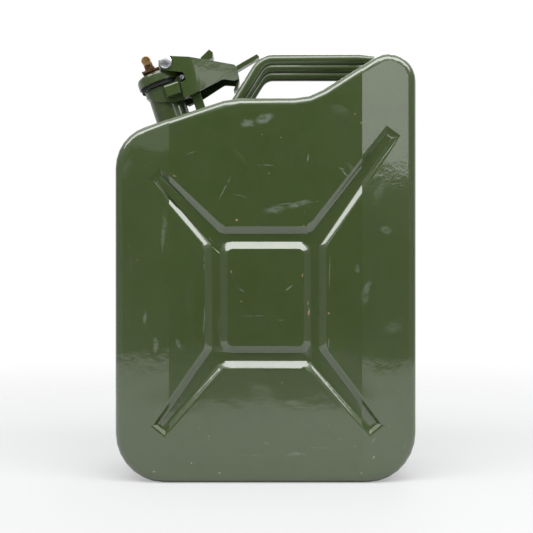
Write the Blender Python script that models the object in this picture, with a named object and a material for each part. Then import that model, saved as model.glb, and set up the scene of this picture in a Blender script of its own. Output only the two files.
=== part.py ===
"""Twenty litre pressed steel fuel can with a lever closure, built as separate pieces.

The width runs along X with the spout towards -X, the depth along Y with the front towards -Y, and Z is up.
The origin is the middle of the base. Lengths are in metres. The closure is drawn in the spout's own frame:
u runs up the shoulder away from the spout's front, h runs out along the spout, and Y stays the depth.
"""
import math

import bmesh
import bpy
from mathutils import Matrix, Vector

# Fit between pieces
GAP = 0.0003
OVERRUN = 0.02
ARC_STEP = math.radians(13)

# Body
BODY_WIDTH = 0.337
BODY_DEPTH = 0.165
BODY_HEIGHT = 0.4786
SHOULDER_BELOW_TOP = 0.05
SPOUT_CORNER_BELOW_SHOULDER = 0.0426
SHOULDER_SLOPE = math.radians(18.07)
LOBE_TOP_WIDTH = 0.0392
LOBE_SLOPE = math.radians(32)
BASE_CORNER_RADIUS = 0.054
LOBE_RADIUS = 0.03
VALLEY_RADIUS = 0.06
CREST_RADIUS = 0.06
SPOUT_CORNER_RADIUS = 0.048
EDGE_FILLET = 0.009
SHEET = 0.001
CREASE_FROM_SIDE = 0.0615
STRIP_TILT = math.radians(6.5)
SEAM_HALF_WIDTH = 0.0055
SEAM_RAMP = 0.003
SEAM_DEPTH = 0.004
BEAD_HALF_WIDTH = 0.0024
BEAD_HEIGHT = 0.0014
FILLET_STEPS = 4

# Pressing on each face
PRESS_DEPTH = 0.005
PRESS_WALL = 0.0078
PRESS_CENTRE_SHARE = 0.4313
RING_WIDTH_SHARE = 0.3519
RING_HEIGHT_SHARE = 0.2959
RING_FLOOR = 0.009
ARM_ROOT_ACROSS = 0.0095
ARM_ROOT_UP = 0.013
ARM_TIP_HALF_WIDTH = 0.003
RING_INNER_RADIUS = 0.014
ARM_ROOT_RADIUS = 0.009
# Ends of the four arms, as shares of half the width and of the height
ARM_TIP_SHARES = ((-0.71, 0.708), (-0.685, 0.132), (0.705, 0.134), (0.82, 0.806))
# Wall section, as shares of the wall's run and of the depth, from the floor out past the face
PRESS_SECTION_SHARES = ((0.0, 1.0), (0.3, 0.86), (0.7, 0.14), (1.1, -0.04))
# The same for the island, whose wall starts under the channel's floor
ISLAND_SECTION_SHARES = ((-0.12, 1.056), (0.3, 0.86), (0.7, 0.14), (1.1, -0.04))

# Handles
HANDLE_SPACING = 0.045
HANDLE_RADIUS = 0.0065
HANDLE_BELOW_TOP = 0.0011
HANDLE_FOOT_BEHIND_CREST = 0.0048
HANDLE_LEG_RISE = math.radians(58)
HANDLE_BEND_RADIUS = 0.0215
HANDLE_REAR_FROM_SIDE = 0.044
HANDLE_TAPER_LENGTH = 0.019
HANDLE_TAPER_SHARE = 0.66
HANDLE_SIDES = 12

# Spout
SPOUT_FROM_SIDE = 0.062
NECK_RADIUS = 0.0205
NECK_WALL = 0.0015
NECK_LENGTH = 0.054
NECK_BELOW = 0.005
RIM_RADIUS = 0.0235
RIM_HEIGHT = 0.0045
FLANGE_RADIUS = 0.0275
FLANGE_SHEET = 0.0015
VENT_RADIUS = 0.004
VENT_WALL = 0.001
VENT_TOP_BELOW_RIM = 0.008
VENT_DROP = 0.02
VENT_REACH = 0.075
VENT_BEND = 0.012

# Neck bracket with its lugs, studs and hinge pin
BRACKET_SHEET = 0.002
BRACKET_TOP_BELOW_RIM = 0.0052
BRACKET_FRONT_HEIGHT = 0.006
BRACKET_SIDE_HEIGHT = 0.0233
BRACKET_EAR_RISE = 0.0052
BRACKET_BACK = 0.0405
LEG_WIDTH = 0.011
LUG_FRONT = 0.0025
LUG_LENGTH = 0.017
LUG_DEPTH = 0.0082
LUG_HEIGHT = 0.0145
LUG_SHEET = 0.0016
LUG_BEND = 0.0035
STUD_U = 0.0258
STUD_BELOW_RIM = 0.0048
STUD_RADIUS = 0.0026
STUD_REACH = 0.0085
HINGE_U = 0.0345
HINGE_BELOW_RIM = 0.012
HINGE_PIN_RADIUS = 0.003
HINGE_HEAD_RADIUS = 0.005
HINGE_HEAD_HEIGHT = 0.002
HEAD_CROWN_SHARE = 0.6
HEAD_EDGE_SHARE = 0.2

# Cap
CAP_RADIUS = 0.0279
CAP_SHEET = 0.0016
CAP_SKIRT_ABOVE_RIM = 0.0004
CAP_SKIRT_HEIGHT = 0.0072
CAP_DOME_HEIGHT = 0.0086
GASKET_THICKNESS = 0.0055
GASKET_HOLE_RADIUS = 0.0125
GASKET_LIP_DROP = 0.0045
GASKET_LIP_CLEAR = 0.0011
RETAINER_SHEET = 0.002
RETAINER_STEM_RADIUS = 0.004
CAP_STEPS = 40

# Cap bracket and lever pivot
PIVOT_U = 0.0128
PIVOT_ABOVE_CAP = 0.0018
CAP_BRACKET_SHEET = 0.002
CAP_BRACKET_FRONT = 0.004
CAP_BRACKET_BACK = 0.0235
EAR_RADIUS = 0.0054
ARM_HALF_SPAN = 0.0193
ARM_WIDTH = 0.012
RIVET_RADIUS = 0.0025
RIVET_HEAD_RADIUS = 0.008
RIVET_HEAD_HEIGHT = 0.0032
RIVET_EDGE_SHARE = 0.15

# Lever
LEVER_HALF_WIDTH = 0.0304
LEVER_SHEET = 0.0018
LEVER_TAIL_HALF_WIDTH = 0.0168
LEVER_SPAN = 0.1
LEVER_STRAIGHT = 0.027
LEVER_LENGTH = 0.0777
# Outline from the pivot as shares of the span: u, h and corner radius, with the notch left out
LEVER_TOP_SHARES = (
    (-0.08, -0.068, 0.06),
    (-0.08, 0.108, 0.075),
    (0.292, -0.031, 0.8),
    (0.777, -0.258, 0.05),
    (0.765, -0.43, 0.02),
    (0.7, -0.43, 0.03),
    (0.583, -0.376, 0.08),
    (0.411, -0.413, 0.15),
    (0.279, -0.442, 0.12),
    (0.076, -0.472, 0.02),
)
NOTCH_CLEAR = 0.0034
NOTCH_LIP_REACH = 0.0034
NOTCH_LIP_DROP = 0.006
NOTCH_ROOF_RISE = 0.005
NOTCH_ROOF_SLOPE = math.radians(24)
NOTCH_ROOF_START = -0.004
NOTCH_RADIUS = 0.0032
LIP_RADIUS = 0.0012
CROWN_FRONT = 0.0075
THUMB_HALF_WIDTH = 0.008
THUMB_SHARES = ((0.779, -0.252, 0.004), (1.053, -0.195, 0.01), (1.075, -0.238, 0.01), (0.7765, -0.305, 0.004))
STOP_HALF_WIDTH = 0.015
STOP_SHARES = (
    (0.385, -0.085, 0.004),
    (0.41, -0.042, 0.012),
    (0.532, 0.018, 0.012),
    (0.563, -0.03, 0.008),
    (0.54, -0.09, 0.006),
    (0.42, -0.103, 0.003),
)
HOOK_HALF_WIDTH = 0.012
HOOK_SHARES = (
    (0.768, -0.37, 0.002),
    (0.757, -0.437, 0.04),
    (0.725, -0.495, 0.05),
    (0.647, -0.538, 0.004),
    (0.7, -0.475, 0.04),
    (0.732, -0.43, 0.03),
    (0.75, -0.37, 0.002),
)

# Locking pin and its strip
PIN_U = -0.008
PIN_ABOVE_CAP = 0.0093
PIN_RADIUS = 0.003
PIN_HEAD_RADIUS = 0.0053
PIN_HEAD_LENGTH = 0.01
PIN_FRONT = -0.034
PIN_LENGTH = 0.053
STRIP_FRONT = -0.0178
STRIP_BACK = 0.0036
STRIP_HALF_WIDTH = 0.015
STRIP_SHEET = 0.0024
PIN_EAR_SHEET = 0.002
PIN_EAR_RADIUS = 0.0052

HALF_WIDTH = BODY_WIDTH / 2
HALF_DEPTH = BODY_DEPTH / 2
SHOULDER_HEIGHT = BODY_HEIGHT - SHOULDER_BELOW_TOP
SPOUT_CORNER_HEIGHT = SHOULDER_HEIGHT - SPOUT_CORNER_BELOW_SHOULDER
CREST_X = SPOUT_CORNER_BELOW_SHOULDER / math.tan(SHOULDER_SLOPE) - HALF_WIDTH
PRESS_CENTRE_HEIGHT = PRESS_CENTRE_SHARE * BODY_HEIGHT
RING_HALF_WIDTH = RING_WIDTH_SHARE * HALF_WIDTH
RING_HALF_HEIGHT = RING_HEIGHT_SHARE * BODY_HEIGHT / 2
HANDLE_CENTRE_HEIGHT = BODY_HEIGHT - HANDLE_BELOW_TOP
HANDLE_FOOT_X = CREST_X + HANDLE_FOOT_BEHIND_CREST
SEAM_CLEAR = GAP / 2
CREASE_X = HALF_WIDTH - CREASE_FROM_SIDE
SPOUT_X = SPOUT_FROM_SIDE - HALF_WIDTH
SPOUT_Z = SPOUT_CORNER_HEIGHT + SPOUT_FROM_SIDE * math.tan(SHOULDER_SLOPE)
NECK_BORE = NECK_RADIUS - NECK_WALL
BRACKET_TOP = NECK_LENGTH - BRACKET_TOP_BELOW_RIM
STUD_H = NECK_LENGTH - STUD_BELOW_RIM
HINGE_H = NECK_LENGTH - HINGE_BELOW_RIM
BRACKET_INSIDE = NECK_RADIUS + GAP
BRACKET_OUTSIDE = BRACKET_INSIDE + BRACKET_SHEET
CAP_BASE = NECK_LENGTH + CAP_SKIRT_ABOVE_RIM
CAP_TOP = CAP_BASE + CAP_SKIRT_HEIGHT + CAP_DOME_HEIGHT
PIVOT_H = CAP_TOP + PIVOT_ABOVE_CAP
PIN_H = CAP_TOP + PIN_ABOVE_CAP
LEVER_INSIDE = LEVER_HALF_WIDTH - LEVER_SHEET
PLATE_BASE = CAP_TOP + GAP


def clear_scene():
    for old in list(bpy.data.objects):
        bpy.data.objects.remove(old, do_unlink=True)


def material(name, colour, roughness, metallic):
    made = bpy.data.materials.new(name)
    made.use_nodes = True
    shader = made.node_tree.nodes["Principled BSDF"]
    shader.inputs["Base Color"].default_value = (*colour, 1)
    shader.inputs["Roughness"].default_value = roughness
    shader.inputs["Metallic"].default_value = metallic
    return made


def green_paint():
    return material("green_paint", (0.075, 0.125, 0.045), 0.35, 0.0)


def zinc_plate():
    return material("zinc_plate", (0.72, 0.73, 0.76), 0.3, 1.0)


def yellow_zinc():
    return material("yellow_zinc", (0.62, 0.38, 0.2), 0.35, 1.0)


def black_rubber():
    return material("black_rubber", (0.02, 0.02, 0.02), 0.7, 0.0)


def bare_steel():
    return material("bare_steel", (0.45, 0.45, 0.44), 0.45, 1.0)


def add_object(name, bm, finish, parent=None, smooth=True):
    bmesh.ops.remove_doubles(bm, verts=bm.verts, dist=GAP * GAP)
    bmesh.ops.recalc_face_normals(bm, faces=bm.faces)
    mesh = bpy.data.meshes.new(name)
    bm.to_mesh(mesh)
    bm.free()
    if smooth:
        mesh.shade_smooth()
        mesh.set_sharp_from_angle(angle=math.radians(32))
    made = bpy.data.objects.new(name, mesh)
    bpy.context.scene.collection.objects.link(made)
    if finish:
        mesh.materials.append(finish)
    made.parent = parent
    return made


def add_empty(name, place, tilt=0.0, parent=None):
    made = bpy.data.objects.new(name, None)
    bpy.context.scene.collection.objects.link(made)
    made.location = place
    made.rotation_euler = (0.0, tilt, 0.0)
    made.parent = parent
    return made


def as_cutter(made):
    made.hide_render = True
    made.display_type = "WIRE"
    return made


def combine(target, other, operation="DIFFERENCE"):
    modifier = target.modifiers.new(f"{operation.lower()}_{other.name}", "BOOLEAN")
    modifier.operation = operation
    modifier.solver = "EXACT"
    modifier.object = as_cutter(other)


def offset_corners(corners, inset):
    """Moves each side of an anticlockwise outline of (x, z, radius) corners inwards."""
    lines = []
    for (x0, z0, _), (x1, z1, _) in zip(corners, corners[1:] + corners[:1]):
        along = Vector((x1 - x0, z1 - z0)).normalized()
        inward = Vector((-along.y, along.x))
        lines.append((Vector((x0, z0)) + inward * inset, along))
    moved = []
    for index, corner in enumerate(corners):
        before, along_before = lines[index - 1]
        after, along_after = lines[index]
        turn = along_before.cross(along_after)
        step = (after - before).cross(along_after) / turn
        place = before + along_before * step
        radius = corner[2] - math.copysign(inset, turn)
        moved.append((place.x, place.y, max(radius, GAP)))
    return moved


def rounded(corners):
    """The points of an outline of (x, z, radius) corners, with each corner as an arc."""
    points = []
    for index, (x, z, radius) in enumerate(corners):
        corner = Vector((x, z))
        before = (Vector(corners[index - 1][:2]) - corner).normalized()
        after = (Vector(corners[(index + 1) % len(corners)][:2]) - corner).normalized()
        turn = math.pi - before.angle(after)
        tangent = radius * math.tan(turn / 2)
        steps = max(1, round(turn / ARC_STEP))
        centre = corner + (before + after).normalized() * (radius / math.cos(turn / 2))
        start = corner + before * tangent - centre
        side = -1 if before.cross(after) > 0 else 1
        for step in range(steps + 1):
            angle = side * turn * step / steps
            spoke = Vector(
                (
                    start.x * math.cos(angle) - start.y * math.sin(angle),
                    start.x * math.sin(angle) + start.y * math.cos(angle),
                )
            )
            points.append(centre + spoke)
    return points


def add_ring(bm, outline, y):
    return [bm.verts.new((point.x, y, point.y)) for point in outline]


def bridge(bm, first, second):
    for index in range(len(first)):
        after = (index + 1) % len(first)
        bm.faces.new((first[index], first[after], second[after], second[index]))


def loft(levels):
    """A closed solid through (outline, y) levels with as many points each."""
    bm = bmesh.new()
    rings = [add_ring(bm, outline, y) for outline, y in levels]
    for first, second in zip(rings, rings[1:]):
        bridge(bm, first, second)
    bm.faces.new(rings[0])
    bm.faces.new(list(reversed(rings[-1])))
    return bm


def plate(corners, y0, y1):
    outline = rounded(corners)
    return loft(((outline, y0), (outline, y1)))


def swept(path, sections):
    """A tube through the points of a path in the X-Z plane; each section gives its radius there."""
    bm = bmesh.new()
    rings = []
    for index, point in enumerate(path):
        before = path[index - 1] if index else point
        after = path[index + 1] if index + 1 < len(path) else point
        along = (after - before).normalized()
        normal = Vector((-along.y, along.x))
        ring = []
        for side in range(HANDLE_SIDES):
            angle = math.tau * side / HANDLE_SIDES
            place = point + normal * (sections[index] * math.cos(angle))
            ring.append(bm.verts.new((place.x, sections[index] * math.sin(angle), place.y)))
        rings.append(ring)
    for first, second in zip(rings, rings[1:]):
        bridge(bm, first, second)
    bm.faces.new(rings[0])
    bm.faces.new(list(reversed(rings[-1])))
    return bm


def turned(profile, steps, closed=True):
    """Spins a (radius, height) profile about Z."""
    bm = bmesh.new()
    verts = [bm.verts.new((radius, 0.0, height)) for radius, height in profile]
    edges = [bm.edges.new(pair) for pair in zip(verts, verts[1:])]
    if closed:
        edges.append(bm.edges.new((verts[-1], verts[0])))
    bmesh.ops.spin(
        bm,
        geom=verts + edges,
        cent=(0, 0, 0),
        axis=(0, 0, 1),
        angle=math.tau,
        steps=steps,
        use_merge=True,
    )
    return bm


def rod(radius, start, end, steps=20):
    """A round bar along Y."""
    bm = turned(((0.0, end), (radius, end), (radius, start), (0.0, start)), steps, closed=False)
    bmesh.ops.transform(bm, matrix=Matrix.Rotation(-math.pi / 2, 4, "X"), verts=bm.verts)
    return bm


def body_corners():
    lobe_x = HALF_WIDTH - LOBE_TOP_WIDTH
    valley_x = lobe_x - SHOULDER_BELOW_TOP / math.tan(LOBE_SLOPE)
    return [
        (-HALF_WIDTH, 0.0, BASE_CORNER_RADIUS),
        (HALF_WIDTH, 0.0, BASE_CORNER_RADIUS),
        (HALF_WIDTH, BODY_HEIGHT, LOBE_RADIUS),
        (lobe_x, BODY_HEIGHT, LOBE_RADIUS),
        (valley_x, SHOULDER_HEIGHT, VALLEY_RADIUS),
        (CREST_X, SHOULDER_HEIGHT, CREST_RADIUS),
        (-HALF_WIDTH, SPOUT_CORNER_HEIGHT, SPOUT_CORNER_RADIUS),
    ]


def body_level(inset, y):
    return rounded(offset_corners(body_corners(), inset)), y


def face_share(x):
    """How far out the face stands at x, as a share of half the depth."""
    fall = max(0.0, abs(x) - CREASE_X) * math.tan(STRIP_TILT)
    return (HALF_DEPTH - fall) / HALF_DEPTH


def fold(bm):
    """Tilts the two side strips of each face back from their creases."""
    for side in (-1, 1):
        bmesh.ops.bisect_plane(
            bm,
            geom=bm.verts[:] + bm.edges[:] + bm.faces[:],
            plane_co=(side * CREASE_X, 0, 0),
            plane_no=(1, 0, 0),
            dist=GAP * GAP,
        )
    for vert in bm.verts:
        vert.co.y *= face_share(vert.co.x)


def half_levels(side, inset, start):
    """Levels of one half of the body from the seam out to the face, moved inwards by inset."""
    radius = EDGE_FILLET - inset
    straight = HALF_DEPTH - EDGE_FILLET
    levels = [
        body_level(SEAM_DEPTH + inset, side * start),
        body_level(SEAM_DEPTH + inset, side * (SEAM_HALF_WIDTH - inset / 2)),
        body_level(inset, side * (SEAM_HALF_WIDTH + SEAM_RAMP - inset / 2)),
    ]
    for step in range(FILLET_STEPS + 1):
        angle = math.pi / 2 * step / FILLET_STEPS
        across = inset + radius * (1 - math.cos(angle))
        levels.append(body_level(across, side * (straight + radius * math.sin(angle))))
    return levels


def ring_and_arm_corners():
    """The floor of the pressed channel as one outline, anticlockwise from the lower left arm."""
    corners = []
    quadrants = ((-1, 1), (-1, -1), (1, -1), (1, 1))
    for (across, up), (tip_x_share, tip_z_share) in zip(quadrants, ARM_TIP_SHARES):
        upright = (
            across * (RING_HALF_WIDTH - ARM_ROOT_ACROSS),
            PRESS_CENTRE_HEIGHT + up * RING_HALF_HEIGHT,
        )
        level = (
            across * RING_HALF_WIDTH,
            PRESS_CENTRE_HEIGHT + up * (RING_HALF_HEIGHT - ARM_ROOT_UP),
        )
        tip = Vector((tip_x_share * HALF_WIDTH, tip_z_share * BODY_HEIGHT))
        root = (Vector(upright) + Vector(level)) / 2
        along = (tip - root).normalized()
        aside = Vector((-along.y, along.x)) * ARM_TIP_HALF_WIDTH
        first, last = (upright, level) if across * up < 0 else (level, upright)
        corners += [
            (*first, ARM_ROOT_RADIUS),
            (*(tip - aside), ARM_TIP_HALF_WIDTH * 0.9),
            (*(tip + aside), ARM_TIP_HALF_WIDTH * 0.9),
            (*last, ARM_ROOT_RADIUS),
        ]
    return corners


def island_corners():
    half_width = RING_HALF_WIDTH - RING_FLOOR
    half_height = RING_HALF_HEIGHT - RING_FLOOR
    low = PRESS_CENTRE_HEIGHT - half_height
    high = PRESS_CENTRE_HEIGHT + half_height
    places = ((-half_width, low), (half_width, low), (half_width, high), (-half_width, high))
    return [(x, z, RING_INNER_RADIUS) for x, z in places]


def pressed_levels(corners, side, sheet, way):
    """Levels of a pressed wall from its floor to the face and on past it; way is 1 where it widens."""
    levels = []
    for run, depth in PRESS_SECTION_SHARES if way > 0 else ISLAND_SECTION_SHARES:
        moved = offset_corners(corners, -way * (run * PRESS_WALL + sheet))
        levels.append((rounded(moved), side * (HALF_DEPTH - sheet - depth * PRESS_DEPTH)))
    if way < 0:
        levels.insert(0, (levels[0][0], side * (HALF_DEPTH - PRESS_DEPTH - sheet - OVERRUN)))
    past = OVERRUN if way > 0 else OVERRUN * 2
    levels.append((levels[-1][0], side * (HALF_DEPTH + past)))
    return levels


def press_cutter(name, side, sheet):
    """The space pressed in from one face, grown by the sheet for the inner surface."""
    channel = loft(pressed_levels(ring_and_arm_corners(), side, sheet, 1))
    fold(channel)
    cutter = add_object(f"{name}_channel", channel, None)
    island = loft(pressed_levels(island_corners(), side, sheet, -1))
    fold(island)
    combine(cutter, add_object(f"{name}_island", island, None))
    return cutter


def spout_hole(name, spout, radius):
    hole = turned(
        ((0.0, OVERRUN), (radius, OVERRUN), (radius, -OVERRUN), (0.0, -OVERRUN)),
        CAP_STEPS,
        closed=False,
    )
    return add_object(name, hole, None, spout)


def shell(name, side, finish, spout):
    """One pressed half of the body: an open pan of sheet with its pressing and its seam flange."""
    outer = loft(half_levels(side, 0.0, SEAM_CLEAR))
    fold(outer)
    made = add_object(name, outer, finish)
    combine(made, press_cutter(f"{name}_outside", side, 0.0))
    inner = loft(half_levels(side, SHEET, -OVERRUN))
    fold(inner)
    hollow = add_object(f"{name}_hollow", inner, None)
    combine(hollow, press_cutter(f"{name}_inside", side, SHEET))
    combine(made, hollow)
    combine(made, spout_hole(f"{name}_spout_hole", spout, NECK_RADIUS + GAP))
    return made


def seam_weld(finish, spout):
    """The weld bead that runs round the body in the groove between the two halves."""
    seat = SEAM_DEPTH - GAP
    section = (
        (seat, -BEAD_HALF_WIDTH),
        (seat - BEAD_HEIGHT * 0.75, -BEAD_HALF_WIDTH * 0.7),
        (seat - BEAD_HEIGHT, 0.0),
        (seat - BEAD_HEIGHT * 0.75, BEAD_HALF_WIDTH * 0.7),
        (seat, BEAD_HALF_WIDTH),
    )
    bm = bmesh.new()
    rings = [add_ring(bm, *body_level(inset, y)) for inset, y in section]
    for first, second in zip(rings, rings[1:] + rings[:1]):
        bridge(bm, first, second)
    made = add_object("seam_weld", bm, finish)
    combine(made, spout_hole("seam_weld_spout_gap", spout, FLANGE_RADIUS + GAP))
    return made


def body_cutter(name):
    """The outside of the closed body, grown by the fitting gap, to seat the handles on."""
    grown = [(outline, y) for outline, y in half_levels(-1, -GAP, 0.0)]
    bead = SEAM_DEPTH - BEAD_HEIGHT - GAP - GAP
    grown[0] = body_level(bead, 0.0)
    grown[1] = body_level(bead, -SEAM_HALF_WIDTH + GAP)
    front = list(reversed(grown))
    rear = [(outline, -y) for outline, y in grown[1:]]
    solid = loft(front + rear)
    fold(solid)
    return add_object(name, solid, None)


def handle_path():
    """The middle line of a handle: up the front leg, round the bend and back to the rear lobe."""
    foot = Vector((HANDLE_FOOT_X, SHOULDER_HEIGHT))
    rise = HANDLE_CENTRE_HEIGHT - SHOULDER_HEIGHT
    bend_x = HANDLE_FOOT_X + rise / math.tan(HANDLE_LEG_RISE)
    leg = Vector((math.cos(HANDLE_LEG_RISE), math.sin(HANDLE_LEG_RISE)))
    below = foot - leg * HANDLE_RADIUS * 1.5
    end_x = HALF_WIDTH - HANDLE_REAR_FROM_SIDE
    corners = [
        (below.x, below.y, GAP),
        (end_x, SHOULDER_HEIGHT, GAP),
        (end_x, HANDLE_CENTRE_HEIGHT, GAP),
        (bend_x, HANDLE_CENTRE_HEIGHT, HANDLE_BEND_RADIUS),
    ]
    taper_x = end_x - HANDLE_TAPER_LENGTH
    bend = [p for p in rounded(corners) if p.x < taper_x and p.y > SHOULDER_HEIGHT + GAP]
    straight = [Vector((x, HANDLE_CENTRE_HEIGHT)) for x in (taper_x, end_x)]
    path = [below] + list(reversed(bend)) + straight
    radii = [HANDLE_RADIUS] * (len(path) - 1) + [HANDLE_RADIUS * HANDLE_TAPER_SHARE]
    return path, radii


def handle(name, y, finish, cutter):
    path, radii = handle_path()
    made = add_object(name, swept(path, radii), finish)
    made.location.y = y
    combine(made, cutter)
    return made


def neck_tube(finish, spout):
    """The spout: a drawn tube whose mouth is rolled outwards into the sealing rim."""
    bead = RIM_HEIGHT / 2
    profile = [(NECK_BORE, -NECK_BELOW), (NECK_BORE, NECK_LENGTH - bead)]
    for step in range(1, 6):
        angle = math.pi - math.pi * 1.25 * step / 5
        across = (RIM_RADIUS - NECK_BORE) / 2
        middle = NECK_BORE + across
        profile.append((middle + across * math.cos(angle), NECK_LENGTH - bead + bead * math.sin(angle)))
    profile.append((NECK_RADIUS, NECK_LENGTH - RIM_HEIGHT))
    profile.append((NECK_RADIUS, -NECK_BELOW))
    return add_object("neck_tube", turned(profile, CAP_STEPS), finish, spout)


def neck_flange(finish, spout):
    inner = NECK_RADIUS + GAP
    profile = (
        (inner, GAP),
        (inner, GAP + FLANGE_SHEET * 2),
        (inner + FLANGE_SHEET * 1.3, GAP + FLANGE_SHEET),
        (FLANGE_RADIUS, GAP + FLANGE_SHEET),
        (FLANGE_RADIUS, GAP),
    )
    return add_object("neck_flange", turned(profile, CAP_STEPS), finish, spout)


def vent_tube(finish, spout):
    """The breather pipe that lets air into the space under the handles while the can pours."""
    u = NECK_BORE - GAP - VENT_RADIUS
    top = NECK_LENGTH - VENT_TOP_BELOW_RIM
    corners = [(u, top, GAP), (u, -VENT_DROP, VENT_BEND), (VENT_REACH, -VENT_DROP, GAP), (VENT_REACH, top, GAP)]
    bend = [p for p in rounded(corners) if p.x < u + VENT_BEND * 1.1 and p.y < VENT_DROP]
    path = [Vector((u, top))] + bend + [Vector((VENT_REACH, -VENT_DROP))]
    made = add_object("vent_tube", swept(path, [VENT_RADIUS] * len(path)), finish, spout)
    longer = [Vector((u, top + OVERRUN))] + bend + [Vector((VENT_REACH + OVERRUN, -VENT_DROP))]
    bore = swept(longer, [VENT_RADIUS - VENT_WALL] * len(longer))
    combine(made, add_object("vent_tube_bore", bore, None, spout))
    return made


def bracket_elevation():
    """Side view of the neck bracket: low at the front, deep at the sides, with a leg down at the back."""
    side_base = BRACKET_TOP - BRACKET_SIDE_HEIGHT
    front = -BRACKET_OUTSIDE - GAP
    leg_front = BRACKET_BACK - LEG_WIDTH
    ear = BRACKET_TOP + BRACKET_EAR_RISE
    bend = LEG_WIDTH / 4
    return [
        (front, BRACKET_TOP - BRACKET_FRONT_HEIGHT, bend),
        (-BRACKET_INSIDE * 0.4, side_base + BRACKET_FRONT_HEIGHT, bend * 4),
        (BRACKET_INSIDE * 0.4, side_base, bend * 4),
        (leg_front, side_base, bend),
        (leg_front, GAP, bend / 8),
        (BRACKET_BACK, GAP, bend / 8),
        (BRACKET_BACK, ear, bend * 2),
        (STUD_U - bend * 2, ear, bend),
        (STUD_U - bend * 3.5, BRACKET_TOP, bend / 2),
        (front, BRACKET_TOP, bend / 4),
    ]


def neck_bracket(finish, spout):
    plan_corners = [
        (-BRACKET_OUTSIDE, -BRACKET_OUTSIDE, BRACKET_OUTSIDE - GAP),
        (BRACKET_BACK, -BRACKET_OUTSIDE, GAP),
        (BRACKET_BACK, BRACKET_OUTSIDE, GAP),
        (-BRACKET_OUTSIDE, BRACKET_OUTSIDE, BRACKET_OUTSIDE - GAP),
    ]
    inner_corners = [
        (-BRACKET_INSIDE, -BRACKET_INSIDE, BRACKET_INSIDE - GAP),
        (BRACKET_BACK + OVERRUN, -BRACKET_INSIDE, GAP),
        (BRACKET_BACK + OVERRUN, BRACKET_INSIDE, GAP),
        (-BRACKET_INSIDE, BRACKET_INSIDE, BRACKET_INSIDE - GAP),
    ]
    lay_flat = Matrix.Rotation(math.pi / 2, 4, "X")
    band = plate(plan_corners, -OVERRUN, NECK_LENGTH + OVERRUN)
    bmesh.ops.transform(band, matrix=lay_flat, verts=band.verts)
    made = add_object("neck_bracket", band, finish, spout)
    inside = plate(inner_corners, -2 * OVERRUN, NECK_LENGTH + 2 * OVERRUN)
    bmesh.ops.transform(inside, matrix=lay_flat, verts=inside.verts)
    combine(made, add_object("neck_bracket_inside", inside, None, spout))
    side_view = plate(bracket_elevation(), -BRACKET_OUTSIDE - OVERRUN, BRACKET_OUTSIDE + OVERRUN)
    combine(made, add_object("neck_bracket_side_view", side_view, None, spout), "INTERSECT")
    pin_hole = rod(HINGE_PIN_RADIUS + GAP, -BRACKET_OUTSIDE - OVERRUN, BRACKET_OUTSIDE + OVERRUN)
    bmesh.ops.translate(pin_hole, vec=(HINGE_U, 0, HINGE_H), verts=pin_hole.verts)
    combine(made, add_object("neck_bracket_pin_hole", pin_hole, None, spout))
    return made


def catch_lug(name, side, finish, spout):
    """A folded box lug on the bracket's side, open below, that keeps the lever's jaw in line."""
    near = BRACKET_OUTSIDE + GAP
    far = near + LUG_DEPTH
    low = BRACKET_TOP - LUG_HEIGHT - LUG_BEND / 2
    high = BRACKET_TOP - LUG_BEND / 2
    inner = LUG_BEND - LUG_SHEET
    corners = [
        (near, low, GAP),
        (near + LUG_SHEET, low, GAP),
        (near + LUG_SHEET, high - LUG_SHEET, inner),
        (far - LUG_SHEET, high - LUG_SHEET, inner),
        (far - LUG_SHEET, low, GAP),
        (far, low, GAP),
        (far, high, LUG_BEND),
        (near, high, LUG_BEND),
    ]
    bm = plate(corners, LUG_FRONT, LUG_FRONT + LUG_LENGTH)
    swap = Matrix(((0, 1, 0, 0), (side, 0, 0, 0), (0, 0, 1, 0), (0, 0, 0, 1)))
    bmesh.ops.transform(bm, matrix=swap, verts=bm.verts)
    return add_object(name, bm, finish, spout)


def catch_stud(name, side, finish, spout):
    """The stud that the notch in the lever's cheek hooks on."""
    near = BRACKET_OUTSIDE + GAP
    ends = sorted((side * near, side * (near + STUD_REACH)))
    made = add_object(name, rod(STUD_RADIUS, *ends), finish, spout)
    made.location = (STUD_U, 0, STUD_H)
    return made


def headed_pin(name, half_length, shaft, head, head_height, finish, parent):
    """A pin along Y with a low dome at each end."""
    edge = half_length + head_height * HEAD_EDGE_SHARE
    crown = edge + head_height * HEAD_CROWN_SHARE
    shoulder = head * HEAD_CROWN_SHARE
    profile = [
        (0.0, half_length + head_height),
        (shoulder, crown),
        (head, edge),
        (head, half_length),
        (shaft, half_length),
        (shaft, -half_length),
        (head, -half_length),
        (head, -edge),
        (shoulder, -crown),
        (0.0, -half_length - head_height),
    ]
    bm = turned(profile, 20, closed=False)
    bmesh.ops.transform(bm, matrix=Matrix.Rotation(-math.pi / 2, 4, "X"), verts=bm.verts)
    return add_object(name, bm, finish, parent)


def cap(finish, lid):
    """The pressed cap: a shallow domed cup."""
    top = CAP_TOP
    shoulder = CAP_BASE + CAP_SKIRT_HEIGHT
    rise = CAP_DOME_HEIGHT
    shares = ((0.5, 0.93), (0.79, 0.7), (0.95, 0.4), (1.0, 0.0))
    outside = [(0.0, top)] + [(r * CAP_RADIUS, shoulder + h * rise) for r, h in shares]
    inside = [
        (r * (CAP_RADIUS - CAP_SHEET), shoulder + h * rise - CAP_SHEET) for r, h in reversed(shares)
    ]
    profile = outside + [(CAP_RADIUS, CAP_BASE), (CAP_RADIUS - CAP_SHEET, CAP_BASE)]
    profile += inside + [(0.0, top - CAP_SHEET)]
    bm = turned(profile, CAP_STEPS, closed=False)
    return lid_object("cap", bm, finish, lid)


def lid_object(name, bm, finish, lid):
    """A piece drawn in the spout's frame and carried by the lid, whose origin is its hinge."""
    bmesh.ops.translate(bm, vec=(-HINGE_U, 0, -HINGE_H), verts=bm.verts)
    return add_object(name, bm, finish, lid)


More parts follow.
